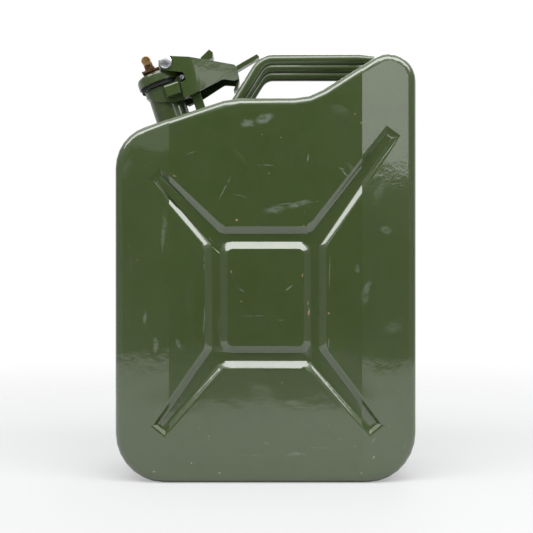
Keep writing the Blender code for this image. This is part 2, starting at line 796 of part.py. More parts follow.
def cap_gasket(finish, lid):
    """The rubber seal in the cap, with a lip that hangs down round the spout's rim."""
    base = NECK_LENGTH + GAP
    top = base + GASKET_THICKNESS
    outer = CAP_RADIUS - CAP_SHEET - GAP
    lip = base - GASKET_LIP_DROP
    inner = RIM_RADIUS + GASKET_LIP_CLEAR
    profile = (
        (GASKET_HOLE_RADIUS, base),
        (GASKET_HOLE_RADIUS, top),
        (outer, top),
        (outer, lip),
        (inner, lip),
        (inner, base),
    )
    return lid_object("cap_gasket", turned(profile, CAP_STEPS), finish, lid)


def gasket_retainer(finish, lid):
    """The dished washer and rivet that hold the gasket in the cap."""
    base = NECK_LENGTH + GAP * 4
    radius = GASKET_HOLE_RADIUS - GAP
    top = CAP_TOP - CAP_SHEET - GAP
    profile = (
        (0.0, top),
        (RETAINER_STEM_RADIUS, top),
        (RETAINER_STEM_RADIUS, base + RETAINER_SHEET * 1.5),
        (radius, base + RETAINER_SHEET),
        (radius, base),
        (0.0, base),
    )
    bm = turned(profile, CAP_STEPS, closed=False)
    return lid_object("gasket_retainer", bm, finish, lid)


def arm_corners():
    """Side view of the cap bracket's hinge arms, from the plate over the cap's back to the hinge pin."""
    inlay = CAP_BRACKET_SHEET / 8
    base = PLATE_BASE + inlay
    top = PLATE_BASE + CAP_BRACKET_SHEET - inlay
    half = ARM_WIDTH / 2
    skirt = CAP_BASE + CAP_SKIRT_HEIGHT
    back = HINGE_U + half
    front = HINGE_U - half
    return [
        (CAP_BRACKET_FRONT + half, base, inlay),
        (CAP_BRACKET_BACK, base, half / 2),
        (front - half / 2, skirt + half / 2, half / 2),
        (front, skirt - half, half),
        (front, HINGE_H - half, half * 0.9),
        (back, HINGE_H - half, half * 0.9),
        (back, skirt - half, half),
        (CAP_BRACKET_BACK + half * 0.6, top, half),
        (CAP_BRACKET_FRONT + half, top, inlay),
    ]


def cap_bracket(finish, lid):
    """The pressing on the cap's top that carries the lever's two ears and the two hinge arms."""
    top = PLATE_BASE + CAP_BRACKET_SHEET
    outer = LEVER_INSIDE - GAP * 2
    bend = CAP_BRACKET_SHEET / 4
    base_corners = [
        (CAP_BRACKET_FRONT, PLATE_BASE, bend),
        (CAP_BRACKET_BACK, PLATE_BASE, bend),
        (CAP_BRACKET_BACK, top, bend),
        (CAP_BRACKET_FRONT, top, bend),
    ]
    plate_end = outer - CAP_BRACKET_SHEET / 4
    base_plate = plate(base_corners, -plate_end, plate_end)
    made = lid_object("cap_bracket", base_plate, finish, lid)
    for side in (-1, 1):
        label = "front" if side < 0 else "rear"
        ends = sorted((side * outer, side * (outer - CAP_BRACKET_SHEET)))
        ear = rod(EAR_RADIUS, *ends, steps=28)
        bmesh.ops.translate(ear, vec=(PIVOT_U, 0, PIVOT_H), verts=ear.verts)
        combine(made, lid_object(f"cap_bracket_ear_{label}", ear, None, lid), "UNION")
        ends = sorted((side * ARM_HALF_SPAN, side * (ARM_HALF_SPAN - CAP_BRACKET_SHEET)))
        arm = plate(arm_corners(), *ends)
        combine(made, lid_object(f"cap_bracket_arm_{label}", arm, None, lid), "UNION")
        ends = sorted((side * (outer - CAP_BRACKET_SHEET * 1.25), side * (outer + OVERRUN)))
        hole = rod(RIVET_RADIUS + GAP, *ends)
        bmesh.ops.translate(hole, vec=(PIVOT_U, 0, PIVOT_H), verts=hole.verts)
        combine(made, lid_object(f"cap_bracket_rivet_hole_{label}", hole, None, lid))
    pin_hole = rod(HINGE_PIN_RADIUS + GAP, -outer, outer)
    bmesh.ops.translate(pin_hole, vec=(HINGE_U, 0, HINGE_H), verts=pin_hole.verts)
    combine(made, lid_object("cap_bracket_pin_hole", pin_hole, None, lid))
    return made


def lever_rivet(name, side, finish, lid):
    """A domed rivet through the lever's cheek into the bracket's ear."""
    start = LEVER_INSIDE - GAP * 2 - CAP_BRACKET_SHEET * 0.75
    head = LEVER_HALF_WIDTH + GAP
    edge = RIVET_HEAD_HEIGHT * RIVET_EDGE_SHARE
    profile = [(0.0, head + RIVET_HEAD_HEIGHT)]
    for step in range(1, 5):
        angle = math.pi / 2 - math.pi / 10 * step
        across = RIVET_HEAD_RADIUS * math.cos(angle)
        up = RIVET_HEAD_HEIGHT - (RIVET_HEAD_HEIGHT - edge) * (1 - math.sin(angle))
        profile.append((across, head + up))
    profile += [(RIVET_HEAD_RADIUS, head), (RIVET_RADIUS, head), (RIVET_RADIUS, start), (0.0, start)]
    bm = turned(profile, 24, closed=False)
    bmesh.ops.transform(bm, matrix=Matrix.Rotation(-side * math.pi / 2, 4, "X"), verts=bm.verts)
    bmesh.ops.translate(bm, vec=(PIVOT_U, 0, PIVOT_H), verts=bm.verts)
    return lid_object(name, bm, finish, lid)


def pin_strip(finish, lid):
    """The plated strip on the cap's top, with two upright eyes for the locking pin."""
    top = PLATE_BASE + STRIP_SHEET
    bend = STRIP_SHEET / 3
    corners = [
        (STRIP_FRONT, PLATE_BASE, bend),
        (STRIP_BACK, PLATE_BASE, bend),
        (STRIP_BACK, top, bend),
        (STRIP_FRONT, top, bend),
    ]
    made = lid_object("pin_strip", plate(corners, -STRIP_HALF_WIDTH, STRIP_HALF_WIDTH), finish, lid)
    eye_top = PIN_H + PIN_EAR_RADIUS
    eye_corners = [
        (PIN_U - PIN_EAR_RADIUS, PLATE_BASE + bend, bend),
        (PIN_U + PIN_EAR_RADIUS, PLATE_BASE + bend, bend),
        (PIN_U + PIN_EAR_RADIUS, eye_top, PIN_EAR_RADIUS * 0.95),
        (PIN_U - PIN_EAR_RADIUS, eye_top, PIN_EAR_RADIUS * 0.95),
    ]
    for side in (-1, 1):
        label = "front" if side < 0 else "rear"
        ends = sorted((side * STRIP_HALF_WIDTH, side * (STRIP_HALF_WIDTH - PIN_EAR_SHEET)))
        eye = plate(eye_corners, *ends)
        combine(made, lid_object(f"pin_strip_eye_{label}", eye, None, lid), "UNION")
    hole = rod(PIN_RADIUS + GAP, -STRIP_HALF_WIDTH - OVERRUN, STRIP_HALF_WIDTH + OVERRUN)
    bmesh.ops.translate(hole, vec=(PIN_U, 0, PIN_H), verts=hole.verts)
    combine(made, lid_object("pin_strip_hole", hole, None, lid))
    return made


def lock_pin(finish, carrier):
    """The headed locking pin that slides through the two eyes."""
    head_end = PIN_FRONT + PIN_HEAD_LENGTH
    edge = PIN_HEAD_RADIUS / 10
    profile = (
        (0.0, PIN_FRONT + PIN_LENGTH),
        (PIN_RADIUS - edge, PIN_FRONT + PIN_LENGTH),
        (PIN_RADIUS, PIN_FRONT + PIN_LENGTH - edge),
        (PIN_RADIUS, head_end),
        (PIN_HEAD_RADIUS, head_end),
        (PIN_HEAD_RADIUS, PIN_FRONT + edge),
        (PIN_HEAD_RADIUS - edge, PIN_FRONT),
        (0.0, PIN_FRONT),
    )
    bm = turned(profile, 20, closed=False)
    bmesh.ops.transform(bm, matrix=Matrix.Rotation(-math.pi / 2, 4, "X"), verts=bm.verts)
    return add_object("lock_pin", bm, finish, carrier)


def from_shares(shares, span):
    return [(u * span, h * span, radius * span) for u, h, radius in shares]


def notch_corners():
    """The notch in the cheek that hooks on the catch stud, from its lower lip round to the nose."""
    stud = Vector((STUD_U - PIVOT_U, STUD_H - PIVOT_H))
    end = stud.x + NOTCH_CLEAR
    lip = stud + Vector((-NOTCH_LIP_REACH, -NOTCH_LIP_DROP))
    roof = stud.y + NOTCH_ROOF_RISE
    run = end - NOTCH_ROOF_START
    return [
        (lip.x, lip.y, LIP_RADIUS),
        (end, stud.y - NOTCH_RADIUS - STUD_RADIUS / 2, NOTCH_RADIUS),
        (end, roof, NOTCH_RADIUS),
        (end - run, roof + run * math.tan(NOTCH_ROOF_SLOPE), NOTCH_RADIUS),
    ]


def lever_corners():
    """The side view of the lever, anticlockwise from under its nose."""
    outline = from_shares(LEVER_TOP_SHARES, LEVER_SPAN)
    outer = outline[1:] + notch_corners() + outline[:1]
    return list(reversed(outer))


def narrow_tail(bm):
    """Draws the cheeks together from the straight front towards the tail."""
    bmesh.ops.bisect_plane(
        bm,
        geom=bm.verts[:] + bm.edges[:] + bm.faces[:],
        plane_co=(LEVER_STRAIGHT, 0, 0),
        plane_no=(1, 0, 0),
        dist=GAP * GAP,
    )
    for vert in bm.verts:
        run = max(0.0, vert.co.x - LEVER_STRAIGHT) / (LEVER_LENGTH - LEVER_STRAIGHT)
        drawn = math.copysign(run * (LEVER_HALF_WIDTH - LEVER_TAIL_HALF_WIDTH), vert.co.y)
        vert.co.y -= drawn if abs(vert.co.y) > LEVER_SHEET else 0.0


def lever_frame(finish, lever):
    """The pressed lever: two cheeks joined by a crown, open below, with its stop tab and tail hook."""
    bm = plate(lever_corners(), -LEVER_HALF_WIDTH, LEVER_HALF_WIDTH)
    narrow_tail(bm)
    made = add_object("lever_frame", bm, finish, lever)
    outline = from_shares(LEVER_TOP_SHARES, LEVER_SPAN)
    nose, crest, tail = outline[1], outline[2], outline[3]
    slope = (crest[1] - nose[1]) / (crest[0] - nose[0])
    crown_start = nose[1] + (CROWN_FRONT - nose[0]) * slope - LEVER_SHEET
    floor = outline[-1][1] - OVERRUN
    inside = [
        (nose[0] - OVERRUN, floor, GAP),
        (tail[0] - LEVER_SHEET, floor, GAP),
        (tail[0] - LEVER_SHEET, tail[1] - LEVER_SHEET, tail[2] - LEVER_SHEET),
        (crest[0], crest[1] - LEVER_SHEET, crest[2]),
        (CROWN_FRONT, crown_start, GAP),
        (CROWN_FRONT, nose[1] + OVERRUN, GAP),
        (nose[0] - OVERRUN, nose[1] + OVERRUN, GAP),
    ]
    hollow = plate(inside, -LEVER_INSIDE, LEVER_INSIDE)
    narrow_tail(hollow)
    combine(made, add_object("lever_frame_hollow", hollow, None, lever))
    stop = plate(from_shares(STOP_SHARES, LEVER_SPAN), -STOP_HALF_WIDTH, STOP_HALF_WIDTH)
    combine(made, add_object("lever_frame_stop", stop, None, lever), "UNION")
    hook = plate(from_shares(HOOK_SHARES, LEVER_SPAN), -HOOK_HALF_WIDTH, HOOK_HALF_WIDTH)
    combine(made, add_object("lever_frame_hook", hook, None, lever), "UNION")
    hole = rod(RIVET_RADIUS + GAP, -LEVER_HALF_WIDTH - OVERRUN, LEVER_HALF_WIDTH + OVERRUN)
    combine(made, add_object("lever_frame_rivet_hole", hole, None, lever))
    return made


def thumb_tab(finish, lever):
    corners = list(reversed(from_shares(THUMB_SHARES, LEVER_SPAN)))
    bm = plate(corners, -THUMB_HALF_WIDTH, THUMB_HALF_WIDTH)
    return add_object("thumb_tab", bm, finish, lever)


def main():
    clear_scene()
    paint = green_paint()
    zinc = zinc_plate()
    yellow = yellow_zinc()
    rubber = black_rubber()
    steel = bare_steel()
    spout = add_empty("spout_frame", (SPOUT_X, 0, SPOUT_Z), -SHOULDER_SLOPE)
    lid = add_empty("lid_hinge", (HINGE_U, 0, HINGE_H), 0.0, spout)
    lever = add_empty("lever_pivot", (PIVOT_U - HINGE_U, 0, PIVOT_H - HINGE_H), 0.0, lid)
    pin_slide = add_empty("pin_slide", (PIN_U - HINGE_U, 0, PIN_H - HINGE_H), 0.0, lid)
    shell("shell_front", -1, paint, spout)
    shell("shell_rear", 1, paint, spout)
    seam_weld(paint, spout)
    cutter = body_cutter("handle_seat")
    for label, row in (("front", -1), ("middle", 0), ("rear", 1)):
        handle(f"handle_{label}", row * HANDLE_SPACING, paint, cutter)
    neck_tube(paint, spout)
    neck_flange(paint, spout)
    vent_tube(steel, spout)
    neck_bracket(paint, spout)
    for label, side in (("front", -1), ("rear", 1)):
        catch_lug(f"catch_lug_{label}", side, paint, spout)
        catch_stud(f"catch_stud_{label}", side, zinc, spout)
    half_length = BRACKET_OUTSIDE + GAP
    hinge_sizes = (HINGE_PIN_RADIUS, HINGE_HEAD_RADIUS, HINGE_HEAD_HEIGHT)
    headed_pin("hinge_pin", half_length, *hinge_sizes, zinc, spout).location = (HINGE_U, 0, HINGE_H)
    cap(paint, lid)
    cap_gasket(rubber, lid)
    gasket_retainer(steel, lid)
    cap_bracket(paint, lid)
    lever_rivet("lever_rivet_front", -1, zinc, lid)
    lever_rivet("lever_rivet_rear", 1, zinc, lid)
    pin_strip(yellow, lid)
    lock_pin(yellow, pin_slide)
    lever_frame(paint, lever)
    thumb_tab(paint, lever)


main()
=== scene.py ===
"""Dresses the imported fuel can: worn green enamel, plated fittings, rubber and a pale studio."""

import math

import bpy
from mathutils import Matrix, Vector


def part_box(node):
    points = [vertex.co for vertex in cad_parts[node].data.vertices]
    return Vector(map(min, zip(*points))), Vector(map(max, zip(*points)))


bl_info = {
    "name": "Fuel Can Looks",
    "version": (1, 0, 0),
    "blender": (4, 5, 0),
    "location": "3D View > Sidebar > Fuel Can",
    "description": "Paint, plating, rubber and studio for the packed fuel can",
    "category": "Object",
}

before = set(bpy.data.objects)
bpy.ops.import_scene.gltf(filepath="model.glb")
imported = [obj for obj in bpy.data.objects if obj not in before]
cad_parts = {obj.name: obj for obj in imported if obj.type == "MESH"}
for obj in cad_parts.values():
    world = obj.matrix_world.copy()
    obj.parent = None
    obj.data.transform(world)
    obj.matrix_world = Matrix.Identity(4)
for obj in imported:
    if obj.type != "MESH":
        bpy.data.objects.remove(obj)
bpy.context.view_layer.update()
BODY_LOW, BODY_HIGH = (Vector(corner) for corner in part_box("shell_front"))
HALF_WIDTH = (BODY_HIGH.x - BODY_LOW.x) / 2
HALF_DEPTH = -BODY_LOW.y
MM = 0.001
# Each face bends back towards its side strips at this crease
CREASE_FROM_SIDE = 0.0615
CREASE_X = HALF_WIDTH - CREASE_FROM_SIDE
STRIP_TILT = math.radians(6.5)

BODY_NODES = ("shell_front", "shell_rear", "seam_weld")
HANDLE_NODES = ("handle_front", "handle_middle", "handle_rear")
CLOSURE_NODES = (
    "neck_tube",
    "neck_flange",
    "neck_bracket",
    "catch_lug_front",
    "catch_lug_rear",
    "cap",
    "cap_bracket",
    "lever_frame",
    "thumb_tab",
)
ZINC_NODES = ("lever_rivet_front", "lever_rivet_rear", "catch_stud_front", "catch_stud_rear", "hinge_pin")
YELLOW_NODES = ("lock_pin",)
RUSTY_NODES = ("pin_strip",)
STEEL_NODES = ("vent_tube", "gasket_retainer")
RUBBER_NODES = ("cap_gasket",)

# The marks fade out towards their edges, so they are made this much larger
MARK_GROWTH = 1.35
# A mark is at full strength within this share of its size, and reaches this deep into the pressings
MARK_CORE = 0.35
MARK_REACH = 12 * MM
# The rear face has the same marks upside down, turned over within this share of the body's height
REAR_MARKS_SHARE = 0.94
# Rubbed marks on the front face, in millimetres: x, z, half length, half width, angle, strength
FRONT_SCUFFS = (
    (-19, 400, 6.65, 4.98, 10, 0.75),
    (-2, 405, 9.97, 4.98, 28, 0.8),
    (38, 310, 13.29, 2.77, 8, 0.75),
    (10, 304, 11.08, 3.88, 10, 0.65),
    (82, 414, 9.97, 4.43, -10, 0.2),
    (134, 282, 6.65, 4.43, 0, 0.5),
    (102, 239, 5.54, 2.77, 90, 0.4),
    (113, 218, 6.65, 3.32, 80, 0.55),
    (143, 173, 9.97, 6.65, 10, 0.25),
    (110, 208, 9.97, 4.43, 85, 0.35),
    (-134, 184, 7.75, 2.55, 88, 0.7),
    (-123, 154, 8.86, 3.32, 85, 0.5),
    (-113, 279, 22.15, 2.22, 87, 0.45),
    (-96, 155, 4.43, 2.77, -60, 0.5),
    (-4, 102, 15.51, 8.86, -25, 0.22),
    (38, 87, 17.72, 4.43, -12, 0.3),
    (35, 33, 9.97, 1.77, 0, 0.5),
    (0, 44, 4.43, 1.33, 0, 0.35),
    (96, 350, 9.97, 2.22, -35, 0.2),
    (-84, 204, 33.23, 5.54, 90, 0.04),
    (-28, 364, 13.29, 2.22, -50, 0.08),
    (-156, 348, 15.51, 5.54, 70, 0.2),
    (127, 325, 15.51, 5.54, 60, 0.2),
    (-51, 170, 28.8, 2.22, 90, 0.12),
)
# Thin scratches and a painted highlight arc, in the same terms
FRONT_SCRATCHES_AND_HIGHLIGHT = (
    (-45, 328, 14.4, 0.55, 62, 0.9),
    (0, 353, 8.86, 0.5, 0, 0.8),
    (47, 361, 3.88, 0.78, 80, 1),
    (89, 342, 7.75, 0.66, -48, 1),
    (84, 349, 3.32, 0.78, -20, 0.9),
    (27, 311, 19.94, 0.5, 9, 0.7),
    (71, 235, 17.72, 0.5, 88, 0.7),
    (-68, 246, 8.86, 0.55, 88, 0.8),
    (-68, 181, 15.51, 0.55, 88, 0.75),
    # The next two rows are not scratches: they paint a pale arc on the middle panel, a painted highlight
    # like that of a dent the shell doesn't have
    (-28, 215, 4.98, 0.89, -32, 0.85),
    (26, 217, 4.98, 0.89, 36, 0.85),
    (-8, 186, 19.94, 0.55, 1, 0.35),
    (14, 181, 6.65, 0.55, 0, 0.5),
    (-97, 153, 5.54, 0.55, -55, 0.9),
    (-82, 367, 6.65, 0.44, 20, 0.5),
    (-28, 319, 8.86, 0.44, -15, 0.6),
    (70, 157, 7.75, 0.55, 85, 0.7),
    (140, 342, 13.29, 0.44, 66, 0.6),
    (121, 49, 5.54, 0.66, 55, 0.6),
    (-150, 248, 15.51, 0.39, 86, 0.4),
    (-12, 32, 13.29, 0.39, 3, 0.4),
    (58, 40, 17.72, 0.39, -4, 0.4),
    (-104, 330, 8.86, 0.55, -40, 0.6),
    (-62, 272, 6.65, 0.55, -48, 0.8),
)
# Chips down to the orange primer, in the same terms
FRONT_CHIPS = (
    (47, 200, 2.44, 0.78, 80, 0.8),
    (48, 190, 4.65, 1, 86, 1),
    (70, 189, 1.11, 0.89, 0, 0.9),
    (99, 410, 1.33, 1, 20, 0.6),
    (106, 400, 1.55, 1, 70, 0.6),
    (-32, 292, 1.44, 1.22, 0, 0.9),
    (-82, 23, 1.11, 0.78, 0, 0.9),
    (-124, 13, 1.55, 0.89, 0, 0.7),
    (-51, 12, 1.55, 0.89, 10, 0.6),
    (120, 29, 1.99, 0.78, 50, 0.8),
    (106, 12, 1.33, 0.89, 0, 0.6),
    (-115, 54, 1.11, 0.78, 30, 0.7),
    (4, 344, 1, 0.89, 0, 0.5),
    (17, 384, 0.89, 0.78, 0, 0.6),
    (-4, 387, 0.89, 0.66, 0, 0.4),
    (-101, 341, 1.99, 0.89, -30, 0.6),
    (41, 231, 1, 1.77, 0, 0.7),
    (-38, 235, 0.89, 1.66, 0, 0.7),
    (-27, 202, 1.33, 0.89, 50, 0.6),
    (18, 112, 0.89, 0.78, 0, 0.7),
)
# How the edges of scuffs, scratches with the painted highlight arc, and chips wander: scale of the noise
# and size of the shift
SCUFF_WOBBLE = (60.0, 9 * MM)
SCRATCH_AND_HIGHLIGHT_WOBBLE = (90.0, 2 * MM)
CHIP_WOBBLE = (400.0, 2.5 * MM)

# Noise patterns of the finishes: scale, detail, roughness and stretch along X, Y and Z
EVEN = (1, 1, 1)
BROAD = (7.0, 3.0, 0.55, EVEN)
MOTTLED = (46.0, 6.0, 0.65, EVEN)
STREAKS = (22.0, 5.0, 0.6, (1, 1, 0.18))
RUBBED = (95.0, 8.0, 0.75, (1, 1, 2.6))
PATCHES = (11.0, 3.0, 0.5, EVEN)
FLAKES = (260.0, 2.0, 0.55, EVEN)
BREAKS = (130.0, 3.0, 0.55, EVEN)
PEEL = (420.0, 2.0, 0.55, EVEN)
WAVES = (15.0, 2.0, 0.4, EVEN)
RIPPLE = (110.0, 3.0, 0.6, EVEN)
CLOUD = (160.0, 5.0, 0.6, EVEN)
PITS = (900.0, 3.0, 0.55, EVEN)
LINES = (500.0, 3.0, 0.5, (1, 0.12, 1))
DUST = (120.0, 6.0, 0.7, EVEN)

# Where each part of a finish begins and is full, as values of its noise pattern
FADED_RANGE = (0.36, 0.66)
DARKER_RANGE = (0.5, 0.78)
STREAK_RANGE = (0.56, 0.75)
RUBBED_RANGE = (0.6, 0.72)
RUBBED_PATCH_RANGE = (0.58, 0.7)
FLAKE_RANGE = (0.72, 0.75)
FLAKE_PATCH_RANGE = (0.52, 0.62)
GRAIN_RANGE = (0.34, 0.56)
BREAK_RANGE = (0.38, 0.5)
GLOSS_RANGE = (0.3, 0.75)
TARNISH_RANGE = (0.4, 0.68)
DULL_RANGE = (0.3, 0.7)
DUST_RANGE = (0.5, 0.75)

# Enamel: tone of its darker spots, the most that they and the streaks show, what rubbing and the painted
# highlight arc do, and heights
DARKER_TONE = 0.72
DARKER_SHARE = 0.5
STREAK_SHARE = 0.35
SCUFF_AND_HIGHLIGHT_COVER = 0.85
SCUFF_DULLING = 0.3
GLOSS_SPREAD = 0.12
ENAMEL_IOR = 1.5
COAT_ROUGHNESS = 0.05
PEEL_HEIGHT = 0.01 * MM
RIPPLE_HEIGHT = 0.09 * MM
WEAR_DEPTH = 0.05 * MM
# Metals and rubber: what tarnish does, heights, how pale the dust is, and roughness
METAL_DULLING = 0.25
PIT_HEIGHT = 0.05 * MM
LINE_HEIGHT = 0.03 * MM
DUST_HEIGHT = 0.1 * MM
DUST_GAIN = 2.6
DUST_TONE = 0.01
RUBBER_ROUGHNESS = (0.6, 0.85)
BEVEL_SAMPLES = 6

# Metals: nodes, name, bright and dull colour, roughness and radius of the edges
METALS = (
    (ZINC_NODES, "zinc", (0.78, 0.8, 0.84), (0.5, 0.5, 0.5), 0.2, 0.0),
    (YELLOW_NODES, "yellow_zinc", (0.6, 0.36, 0.15), (0.3, 0.18, 0.08), 0.25, 0.3 * MM),
    (RUSTY_NODES, "rusty_steel", (0.26, 0.16, 0.08), (0.09, 0.06, 0.04), 0.4, 0.3 * MM),
    (STEEL_NODES, "plain_steel", (0.5, 0.5, 0.49), (0.3, 0.28, 0.26), 0.35, 0.0),
)
RUBBER_COLOUR = (0.012, 0.012, 0.013)

# Pressings: depth, the heights that their walls lie between, and the shift that evens their slope
PRESS_DEPTH = 0.005
PRESS_LOW = 0.05
PRESS_HIGH = 0.37
SLOPE_SHIFT = 0.15 * PRESS_DEPTH
# Upper arms in the side strips: heights, outer limit, and how far past the crease they take to run out
ARM_LOW = 0.3
ARM_HIGH = 0.36
ARM_LIMIT_X = 0.145
ARM_FADE = 0.014
ARM_FADE_SHARE = 0.85
# The right arm ends higher up and takes longer to run out than the left one
RIGHT_ARM_RISE = 0.045
RIGHT_ARM_LONGER = 0.016
# Only what lies this deep counts as pressed
LEAST_SUNK = 0.02 * MM

# Edges flatter than these angles are shaded round
SHELL_ROUND_LIMIT = 25
HANDLE_ROUND_LIMIT = 40
CLOSURE_ROUND_LIMIT = 32
MERGE_DISTANCE = 0.002 * MM
CREASE_TOLERANCE = MM / 5
# No handle or closure piece has an edge at this width, so none of theirs stays sharp
NO_CREASE = HALF_WIDTH

# Softboxes: name, place, size and watts
SOFTBOXES = (
    ("right_softbox", (0.83, -1.98, 0.91), (0.35, 0.7), 1.35),
    ("left_softbox", (-0.83, -1.98, 0.93), (0.4, 0.6), 0.25),
    ("top_softbox", (0, -0.82, 1.7), (4.8, 0.8), 55),
    ("rear_softbox", (0.4, 1.9, 1.4), (1.2, 0.8), 12),
)

# Floor: mesh and soft edge as shares of its radius; in the picture it is gone at a share of the radius
# and shows most within a distance of the can
FLOOR_COLOUR = (0.6, 0.6, 0.606, 1)
FLOOR_MESH_SHARE = 1.1
FLOOR_EDGE_SHARE = 0.88
FLOOR_GONE_SHARE = 0.94
FLOOR_NEAR = 0.3
FLOOR_SHOWN = 0.62
# Dark card on the floor: two corners, and where it fades in from the end by the can and from its sides
FLAG_LOW = (-0.42, -1.7)
FLAG_HIGH = (0.42, -0.6)
FLAG_COLOUR = (0.14, 0.14, 0.14, 1)
FLAG_FADE_Y = (-0.62, -0.82)
FLAG_FADE_X = (0.42, 0.3)
# Light from the world: how steeply up the bright dome begins and is full, and the light under and in it
DOME_RANGE = (0.4, 0.75)
ROOM_LIGHT = 0.24
DOME_LIGHT = 0.9
DOME_COLOUR = (0.98, 0.99, 1, 1)
# The darkest part of the room: how far to the front and how low it begins and is full, and its light
FRONT_RANGE_Y = (-0.8, -0.98)
FRONT_RANGE_Z = (0.5, 0.25)
FRONT_LIGHT = 0.07
# Where gloss begins to see the white backdrop behind the can and sees most of it, and how much
BACKDROP_RANGE = (0.1, 0.5)
BACKDROP_SHARE = 0.45
# Camera
SENSOR_WIDTH = 36
CAMERA_SHIFT = (0.0017, 0.0066)


def set_input(node, name, value):
    node.inputs[name].default_value = value


def new_material(name):
    made = bpy.data.materials.new(name)
    made.use_nodes = True
    return made, made.node_tree, made.node_tree.nodes["Principled BSDF"]


def add_node(tree, kind, **settings):
    made = tree.nodes.new(kind)
    for name, value in settings.items():
        setattr(made, name, value)
    return made


def feed(tree, socket, value):
    """Links a socket, or sets it where the value is a constant."""
    if isinstance(value, bpy.types.NodeSocket):
        tree.links.new(value, socket)
    else:
        socket.default_value = value


def calculate(tree, operation, first, second=0.0, clamp=False):
    made = add_node(tree, "ShaderNodeMath", operation=operation, use_clamp=clamp)
    feed(tree, made.inputs[0], first)
    feed(tree, made.inputs[1], second)
    return made.outputs[0]


def remap(tree, value, from_low, from_high, to_low=0.0, to_high=1.0):
    made = add_node(tree, "ShaderNodeMapRange", clamp=True, interpolation_type="SMOOTHSTEP")
    for name, number in (
        ("Value", value),
        ("From Min", from_low),
        ("From Max", from_high),
        ("To Min", to_low),
        ("To Max", to_high),
    ):
        feed(tree, made.inputs[name], number)
    return made.outputs["Result"]


def noise(tree, vector, pattern):
    scale, detail, roughness, stretch = pattern
    if stretch != EVEN:
        mapping = add_node(tree, "ShaderNodeMapping")
        set_input(mapping, "Scale", stretch)
        tree.links.new(vector, mapping.inputs["Vector"])
        vector = mapping.outputs["Vector"]
    made = add_node(tree, "ShaderNodeTexNoise")
    tree.links.new(vector, made.inputs["Vector"])
    set_input(made, "Scale", scale)
    set_input(made, "Detail", detail)
    set_input(made, "Roughness", roughness)
    return made.outputs["Fac"]


def noise_range(tree, value, limits, share=1.0):
    """Rises from 0 to the share where a noise value passes its limits."""
    return remap(tree, value, *limits, 0.0, share)


def mix_colour(tree, share, first, second):
    made = add_node(tree, "ShaderNodeMix", data_type="RGBA")
    feed(tree, made.inputs["Factor"], share)
    feed(tree, made.inputs["A"], first)
    feed(tree, made.inputs["B"], second)
    return made.outputs["Result"]


def mark_group():
    """A soft ellipse in the X-Z plane of the front face: 1 in its middle and 0 outside."""
    name = "front_mark"
    if name in bpy.data.node_groups:
        return bpy.data.node_groups[name]
    tree = bpy.data.node_groups.new(name, "ShaderNodeTree")
    sockets = tree.interface
    sockets.new_socket("Position", in_out="INPUT", socket_type="NodeSocketVector")
    sockets.new_socket("Centre", in_out="INPUT", socket_type="NodeSocketVector")
    sockets.new_socket("Angle", in_out="INPUT", socket_type="NodeSocketFloat")
    sockets.new_socket("Size", in_out="INPUT", socket_type="NodeSocketVector")
    sockets.new_socket("Mask", in_out="OUTPUT", socket_type="NodeSocketFloat")
    inside = add_node(tree, "NodeGroupInput")
    outside = add_node(tree, "NodeGroupOutput")
    rotate = add_node(tree, "ShaderNodeVectorRotate", rotation_type="Y_AXIS")
    tree.links.new(inside.outputs["Position"], rotate.inputs["Vector"])
    tree.links.new(inside.outputs["Centre"], rotate.inputs["Center"])
    tree.links.new(inside.outputs["Angle"], rotate.inputs["Angle"])
    moved = add_node(tree, "ShaderNodeVectorMath", operation="SUBTRACT")
    tree.links.new(rotate.outputs["Vector"], moved.inputs[0])
    tree.links.new(inside.outputs["Centre"], moved.inputs[1])
    shrunk = add_node(tree, "ShaderNodeVectorMath", operation="DIVIDE")
    tree.links.new(moved.outputs["Vector"], shrunk.inputs[0])
    tree.links.new(inside.outputs["Size"], shrunk.inputs[1])
    length = add_node(tree, "ShaderNodeVectorMath", operation="LENGTH")
    tree.links.new(shrunk.outputs["Vector"], length.inputs[0])
    tree.links.new(remap(tree, length.outputs["Value"], 1.0, MARK_CORE), outside.inputs["Mask"])
    return tree


def marks(tree, position, rows, warp):
    """The largest of several marks, each as strong as its row says."""
    total = 0.0
    shifted = add_node(tree, "ShaderNodeVectorMath", operation="ADD")
    tree.links.new(position, shifted.inputs[0])
    feed(tree, shifted.inputs[1], warp)
    for x, z, long, wide, angle, strength in rows:
        made = add_node(tree, "ShaderNodeGroup", node_tree=mark_group())
        tree.links.new(shifted.outputs["Vector"], made.inputs["Position"])
        set_input(made, "Centre", (x * MM, -HALF_DEPTH, z * MM))
        set_input(made, "Angle", math.radians(angle))
        set_input(made, "Size", (long * MARK_GROWTH * MM, MARK_REACH, wide * MARK_GROWTH * MM))
        weighed = calculate(tree, "MULTIPLY", made.outputs["Mask"], strength)
        total = calculate(tree, "MAXIMUM", total, weighed)
    return total


def turned_to_front(tree, position):
    """Shows the rear face the same marks as the front, but upside down, so both faces are worn."""
    parts = add_node(tree, "ShaderNodeSeparateXYZ")
    tree.links.new(position, parts.inputs[0])
    x, y, z = parts.outputs
    rear = calculate(tree, "GREATER_THAN", y, 0.0)
    front = calculate(tree, "SUBTRACT", 1.0, rear)
    flipped = calculate(tree, "SUBTRACT", BODY_HIGH.z * REAR_MARKS_SHARE, z)
    height = calculate(
        tree,
        "ADD",
        calculate(tree, "MULTIPLY", z, front),
        calculate(tree, "MULTIPLY", flipped, rear),
    )
    joined = add_node(tree, "ShaderNodeCombineXYZ")
    tree.links.new(x, joined.inputs[0])
    tree.links.new(calculate(tree, "MULTIPLY", calculate(tree, "ABSOLUTE", y), -1.0), joined.inputs[1])
    tree.links.new(height, joined.inputs[2])
    return joined.outputs[0]


